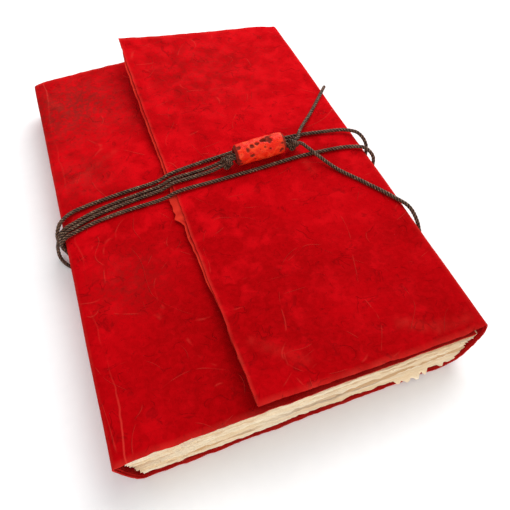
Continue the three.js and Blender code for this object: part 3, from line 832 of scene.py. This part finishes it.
def blotches(tree, place, width_mm, detail=4.0, stretch=(1, 1, 1), shift=0.0, warp=0.0):
    """Noise whose blotches are about width_mm across."""
    mapping = tree.nodes.new("ShaderNodeMapping")
    places = {"Scale": stretch, "Location": (shift, shift * 0.7, shift * 0.3), "Vector": place}
    for socket, value in places.items():
        plug(tree, mapping.inputs[socket], value)
    texture = tree.nodes.new("ShaderNodeTexNoise")
    texture.inputs["Scale"].default_value = 1 / (width_mm * MM)
    texture.inputs["Detail"].default_value = detail
    texture.inputs["Distortion"].default_value = warp
    tree.links.new(mapping.outputs["Vector"], texture.inputs["Vector"])
    return texture.outputs["Fac"]

def between(tree, value, low, high):
    """0 below low, 1 above high, and smooth between them. It falls instead if low is above high."""
    ranger = tree.nodes.new("ShaderNodeMapRange")
    ranger.interpolation_type = "SMOOTHSTEP"
    first, last, ends = (low, high, (0, 1)) if low < high else (high, low, (1, 0))
    plug(tree, ranger.inputs["Value"], value)
    ranger.inputs["From Min"].default_value, ranger.inputs["From Max"].default_value = first, last
    ranger.inputs["To Min"].default_value, ranger.inputs["To Max"].default_value = ends
    return ranger.outputs["Result"]

def work_out(tree, operation, first, second=0.0):
    worker = tree.nodes.new("ShaderNodeMath")
    worker.operation = operation
    plug(tree, worker.inputs[0], first)
    plug(tree, worker.inputs[1], second)
    return worker.outputs["Value"]

def times(tree, first, second):
    return work_out(tree, "MULTIPLY", first, second)

def less(tree, first, second):
    return work_out(tree, "SUBTRACT", first, second)

def paint(tree, shader, colour):
    tree.links.new(colour, shader.inputs["Base Color"])

def lay_over(tree, mask, below, above):
    """The colour above shows where the mask is 1."""
    mixer = tree.nodes.new("ShaderNodeMix")
    mixer.data_type = "RGBA"
    plug(tree, mixer.inputs["Factor"], mask)
    plug(tree, mixer.inputs[6], (*below, 1) if isinstance(below, tuple) else below)
    plug(tree, mixer.inputs[7], (*above, 1) if isinstance(above, tuple) else above)
    return mixer.outputs[2]

def tint(tree, colour, mask, share, above):
    """Lays a share of one colour over another, where the mask is."""
    return lay_over(tree, times(tree, mask, share), colour, above)

def fibre_lines(tree, place, width_mm, thin, shift, detail=2.5, warp=0.0, length_mm=6):
    """Thin lines, where noise passes through its middle value, broken into short lengths."""
    level = blotches(tree, place, width_mm, detail, shift=shift, warp=warp)
    off = work_out(tree, "ABSOLUTE", less(tree, level, 0.5))
    line = between(tree, off, thin, 0.0)
    lengths = between(tree, blotches(tree, place, length_mm, 2, shift=shift + 3), 0.50, 0.62)
    return times(tree, line, lengths)

def raise_relief(tree, shader, height, depth_mm, strength=1.0):
    bump = tree.nodes.new("ShaderNodeBump")
    bump.inputs["Distance"].default_value = depth_mm * MM
    bump.inputs["Strength"].default_value = strength
    tree.links.new(height, bump.inputs["Height"])
    tree.links.new(bump.outputs["Normal"], shader.inputs["Normal"])

def vary_roughness(tree, shader, mask, low, high):
    ranger = tree.nodes.new("ShaderNodeMapRange")
    plug(tree, ranger.inputs["Value"], mask)
    ranger.inputs["To Min"].default_value, ranger.inputs["To Max"].default_value = low, high
    tree.links.new(ranger.outputs["Result"], shader.inputs["Roughness"])

# %% [markdown]
# ## Finish: dyed handmade paper
# The cover is bark paper dyed with a brush. The dye pools in blots of two sizes, long fibres take it
# more or less than the pulp round them, and folding and handling rub the surface back to orange. A
# flat red would look like plastic, so each of those is its own mask over the deep red.

# %% Cover paper
RED_DEEP = (0.27, 0.0003, 0.0012)
RED_MAIN = (0.45, 0.0004, 0.0028)
RED_BRIGHT = (0.62, 0.0015, 0.0052)
RED_VEIN = (0.13, 0.0010, 0.0016)
RED_RUBBED = (0.72, 0.060, 0.040)
# Brown of the handling stains, also laid as painted shade at one patch.
STAIN_AND_SHADE_BROWN = (0.12, 0.016, 0.012)
CREASE_X = -49.4
CREASE_WANDER = 7 * MM
CREASE_WIDTH = 0.4 * MM

def crease_line(tree, place):
    """The rubbed line of the front crease, which wanders and comes and goes."""
    parts = tree.nodes.new("ShaderNodeSeparateXYZ")
    tree.links.new(place, parts.inputs["Vector"])
    crease = wrap_run[row_where(wrap_line[:, 0] < CREASE_X)] * MM
    drift = less(tree, blotches(tree, place, 22, 3, shift=71), 0.5)
    centre = work_out(tree, "ADD", times(tree, drift, CREASE_WANDER), crease)
    away = work_out(tree, "ABSOLUTE", less(tree, parts.outputs["X"], centre))
    line = between(tree, away, CREASE_WIDTH, 0.0)
    shown = between(tree, blotches(tree, place, 24, 3, shift=73), 0.42, 0.62)
    ends = between(tree, work_out(tree, "ABSOLUTE", parts.outputs["Y"]), 0.05, 0.08)
    faint = times(tree, shown, 0.12)
    strength = work_out(tree, "MAXIMUM", faint, times(tree, ends, 0.42))
    return times(tree, line, strength)

def cover_paper():
    finish, tree, shader = new_finish("dyed_cover_paper", 0.8, 0.012)
    place = point_mark(tree, "flat", "Vector")
    broad = between(tree, blotches(tree, place, 38, 6, warp=0.15), 0.34, 0.66)
    small = between(tree, blotches(tree, place, 7, 8, shift=2, warp=0.35), 0.34, 0.70)
    pulp = between(tree, blotches(tree, place, 1.6, 8, shift=17, warp=0.5), 0.30, 0.72)
    # Painted shade: darker towards the tail and beside the flap. It holds back the blots and the bright red.
    painted_shade_and_dye = point_mark(tree, "painted_shade_and_dye")
    cloudy = work_out(tree, "ADD", times(tree, broad, 0.55), 0.45)
    cloudy = less(tree, cloudy, painted_shade_and_dye)
    colour = lay_over(tree, cloudy, RED_DEEP, RED_MAIN)
    bright = less(tree, times(tree, small, 0.75), painted_shade_and_dye)
    colour = lay_over(tree, bright, colour, RED_BRIGHT)
    colour = tint(tree, colour, pulp, 0.22, RED_BRIGHT)
    veins = fibre_lines(tree, place, 7, 0.034, 5, warp=0.9)
    hairs = fibre_lines(tree, place, 3.2, 0.030, 13, warp=1.2, length_mm=3)
    fibres = fibre_lines(tree, place, 42, 0.0030, 9, detail=0.6, length_mm=9)
    for width, shift in ((33, 19), (27, 27), (38, 35)):
        more = fibre_lines(tree, place, width, 0.0036, shift, detail=0.6, length_mm=7)
        fibres = work_out(tree, "MAXIMUM", fibres, more)
    flecks = between(tree, blotches(tree, place, 1.8, 5, shift=7, warp=1.5), 0.62, 0.72)
    colour = tint(tree, colour, veins, 0.38, RED_VEIN)
    colour = tint(tree, colour, hairs, 0.26, RED_VEIN)
    colour = tint(tree, colour, flecks, 0.38, RED_VEIN)
    colour = tint(tree, colour, fibres, 0.19, RED_RUBBED)
    colour = lay_over(tree, crease_line(tree, place), colour, RED_RUBBED)
    # Brown where the stains are, and painted shade at one patch, broken up by the pulp.
    grime_and_shade = times(tree, point_mark(tree, "stain_and_shade"), between(tree, pulp, 1.3, -0.3))
    colour = lay_over(tree, grime_and_shade, colour, STAIN_AND_SHADE_BROWN)
    colour = lay_over(tree, point_mark(tree, "wear"), colour, RED_RUBBED)
    paint(tree, shader, colour)
    height = work_out(tree, "ADD", times(tree, pulp, 0.5), fibres)
    height = less(tree, height, times(tree, veins, 0.7))
    height = work_out(tree, "ADD", height, times(tree, small, 0.9))
    raise_relief(tree, shader, height, 0.16, 0.9)
    vary_roughness(tree, shader, small, 0.86, 0.7)
    return finish

# %% [markdown]
# ## Finish: lining paper
# The lining is a thinner paper in a duller, darker red, and its cut edge is the orange line that
# shows under the flap. It has fewer fibres and a soft mottle.

# %% Lining paper
LINING_DARK = (0.26, 0.002, 0.003)
LINING_MAIN = (0.36, 0.005, 0.006)
LINING_EDGE = (0.78, 0.050, 0.024)

def lining_paper():
    finish, tree, shader = new_finish("lining_paper", 0.85, 0.015)
    place = point_mark(tree, "flat", "Vector")
    mottle = between(tree, blotches(tree, place, 7, 7, shift=21, warp=0.3), 0.30, 0.72)
    colour = lay_over(tree, mottle, LINING_DARK, LINING_MAIN)
    fibres = fibre_lines(tree, place, 11, 0.014, 25)
    colour = tint(tree, colour, fibres, 0.4, LINING_EDGE)
    colour = lay_over(tree, point_mark(tree, "wear"), colour, LINING_EDGE)
    paint(tree, shader, colour)
    grain = blotches(tree, place, 0.8, 6, shift=24)
    raise_relief(tree, shader, work_out(tree, "ADD", grain, fibres), 0.08, 0.6)
    vary_roughness(tree, shader, mottle, 0.84, 0.72)
    return finish

# %% [markdown]
# ## Finish: rag pages
# The leaves are unbleached rag paper. Seen from the edge they are cream, with darker tan where the
# feathered deckle is thin or has gone brown, and paler where the sheet is thick. The noise is
# squeezed in height, so that the colour changes from leaf to leaf but runs along each one.

# %% Page paper
PAGE_PALE = (0.95, 0.85, 0.68)
PAGE_CREAM = (0.90, 0.73, 0.50)
PAGE_TAN = (0.66, 0.40, 0.19)
PAGE_BROWN = (0.34, 0.16, 0.06)

def page_paper():
    finish, tree, shader = new_finish("rag_page_paper", 0.86, 0.08)
    place = own_place(tree)
    leaf_by_leaf = blotches(tree, place, 10, 3, stretch=(0.25, 0.25, 6), shift=31)
    edge = point_mark(tree, "edge")
    inside = between(tree, edge, 0.5, 0.0)
    pale = work_out(tree, "MAXIMUM", between(tree, leaf_by_leaf, 0.36, 0.60), inside)
    colour = lay_over(tree, pale, PAGE_CREAM, PAGE_PALE)
    tan = between(tree, blotches(tree, place, 9, 4, stretch=(0.14, 0.14, 6), shift=33), 0.50, 0.64)
    brown = between(tree, blotches(tree, place, 14, 4, stretch=(0.4, 0.4, 8), shift=36), 0.58, 0.72)
    tan = times(tree, tan, between(tree, edge, -0.05, 0.8))
    brown = times(tree, brown, edge)
    colour = tint(tree, colour, tan, 0.75, PAGE_TAN)
    colour = tint(tree, colour, brown, 0.6, PAGE_BROWN)
    flecks = between(tree, blotches(tree, place, 0.9, 4, shift=38), 0.66, 0.74)
    colour = tint(tree, colour, flecks, 0.5, PAGE_TAN)
    paint(tree, shader, colour)
    raise_relief(tree, shader, blotches(tree, place, 0.6, 6, shift=40), 0.08, 0.8)
    vary_roughness(tree, shader, leaf_by_leaf, 0.8, 0.92)
    return finish

# %% [markdown]
# ## Finish: thread and cord
# Both are laid strands. Their colour holds painted light and shade: the strands' crests are painted
# paler, as if lit, and the grooves between them darker, as painted shade. The crest number from the
# sweep says which is which. The crests are also shinier, and short flecks on the crests are painted
# glints.

# %% Sewing thread and waxed cord
# The paler crest colours are painted light and the darker groove colours are painted shade. The cord's glint
# colour is a painted highlight.
THREAD_LIT_CREST, THREAD_SHADED_GROOVE = (0.74, 0.63, 0.44), (0.36, 0.26, 0.15)
CORD_LIT_CREST, CORD_SHADED_GROOVE, CORD_PAINTED_GLINT = (0.10, 0.046, 0.028), (0.012, 0.005, 0.003), (0.40, 0.27, 0.17)

def laid_strands(name, lit_crest_colour, shaded_groove_colour, painted_glint_colour, glints, roughness):
    finish, tree, shader = new_finish(name, roughness, 0.12)
    place = own_place(tree)
    crest = point_mark(tree, "crest")
    uneven = blotches(tree, place, 3, 4, shift=43)
    # Painted light and shade: near 1 on the lit crests and 0 in the shaded grooves, broken up by noise. It
    # also sets the roughness.
    mask = between(tree, work_out(tree, "ADD", crest, less(tree, uneven, 0.5)), 0.3, 0.95)
    colour = lay_over(tree, mask, shaded_groove_colour, lit_crest_colour)
    # Painted glints: short paler flecks on the lit crests.
    hairs = between(tree, blotches(tree, place, 0.45, 5, shift=45), 0.54, 0.66)
    glint = times(tree, times(tree, hairs, mask), glints)
    colour = lay_over(tree, glint, colour, painted_glint_colour)
    paint(tree, shader, colour)
    raise_relief(tree, shader, blotches(tree, place, 0.35, 5, shift=47), 0.06, 0.7)
    vary_roughness(tree, shader, mask, min(1, roughness + 0.15), roughness - 0.08)
    return finish

# %% [markdown]
# ## Finish: coral bead
# Sponge coral is orange-red, a little glossy where it is polished, and dark in its pits. The pits are
# real hollows in the mesh, and the number kept there darkens them.

# %% Coral
CORAL_MAIN = (0.72, 0.016, 0.004)
CORAL_PALE = (0.90, 0.070, 0.018)
CORAL_PIT = (0.07, 0.010, 0.006)

def coral():
    finish, tree, shader = new_finish("coral_polished", 0.42, 0.12)
    place = own_place(tree)
    cloud = between(tree, blotches(tree, place, 3.2, 5, shift=51, warp=0.8), 0.4, 0.64)
    colour = lay_over(tree, times(tree, cloud, 0.75), CORAL_MAIN, CORAL_PALE)
    pores = between(tree, blotches(tree, place, 0.55, 4, shift=53), 0.62, 0.7)
    colour = tint(tree, colour, pores, 0.6, CORAL_PIT)
    hollow = between(tree, point_mark(tree, "hollow"), 0.25, 0.85)
    colour = tint(tree, colour, hollow, 0.85, CORAL_PIT)
    paint(tree, shader, colour)
    height = less(tree, blotches(tree, place, 0.8, 5, shift=55), pores)
    raise_relief(tree, shader, height, 0.1, 0.7)
    vary_roughness(tree, shader, hollow, 0.36, 0.85)
    return finish

# %% [markdown]
# ## Finish: the floor
# A sheet of matt card, almost white, with a tooth too fine to notice.

# %% Floor card and giving out the finishes
CARD_PALE, CARD_SHADE = (0.95, 0.95, 0.95), (0.91, 0.91, 0.915)

def floor_card():
    finish, tree, shader = new_finish("floor_card", 0.9, 0.1)
    tooth = blotches(tree, own_place(tree), 4, 3, shift=61)
    tree.links.new(lay_over(tree, tooth, CARD_PALE, CARD_SHADE), shader.inputs["Base Color"])
    return finish

def give(finish, *pieces):
    for piece in pieces:
        piece.data.materials.clear()
        piece.data.materials.append(finish)

give(cover_paper(), *cover_sheets)
give(lining_paper(), *lining_sheets)
give(page_paper(), *pages)
give(laid_strands("linen_thread", THREAD_LIT_CREST, THREAD_SHADED_GROOVE, THREAD_LIT_CREST, 0.3, 0.8), *threads)
give(laid_strands("waxed_cotton", CORD_LIT_CREST, CORD_SHADED_GROOVE, CORD_PAINTED_GLINT, 0.8, 0.5), cord, *knots)
give(coral(), bead)
give(floor_card(), floor)
print("finishes:", len(bpy.data.materials))
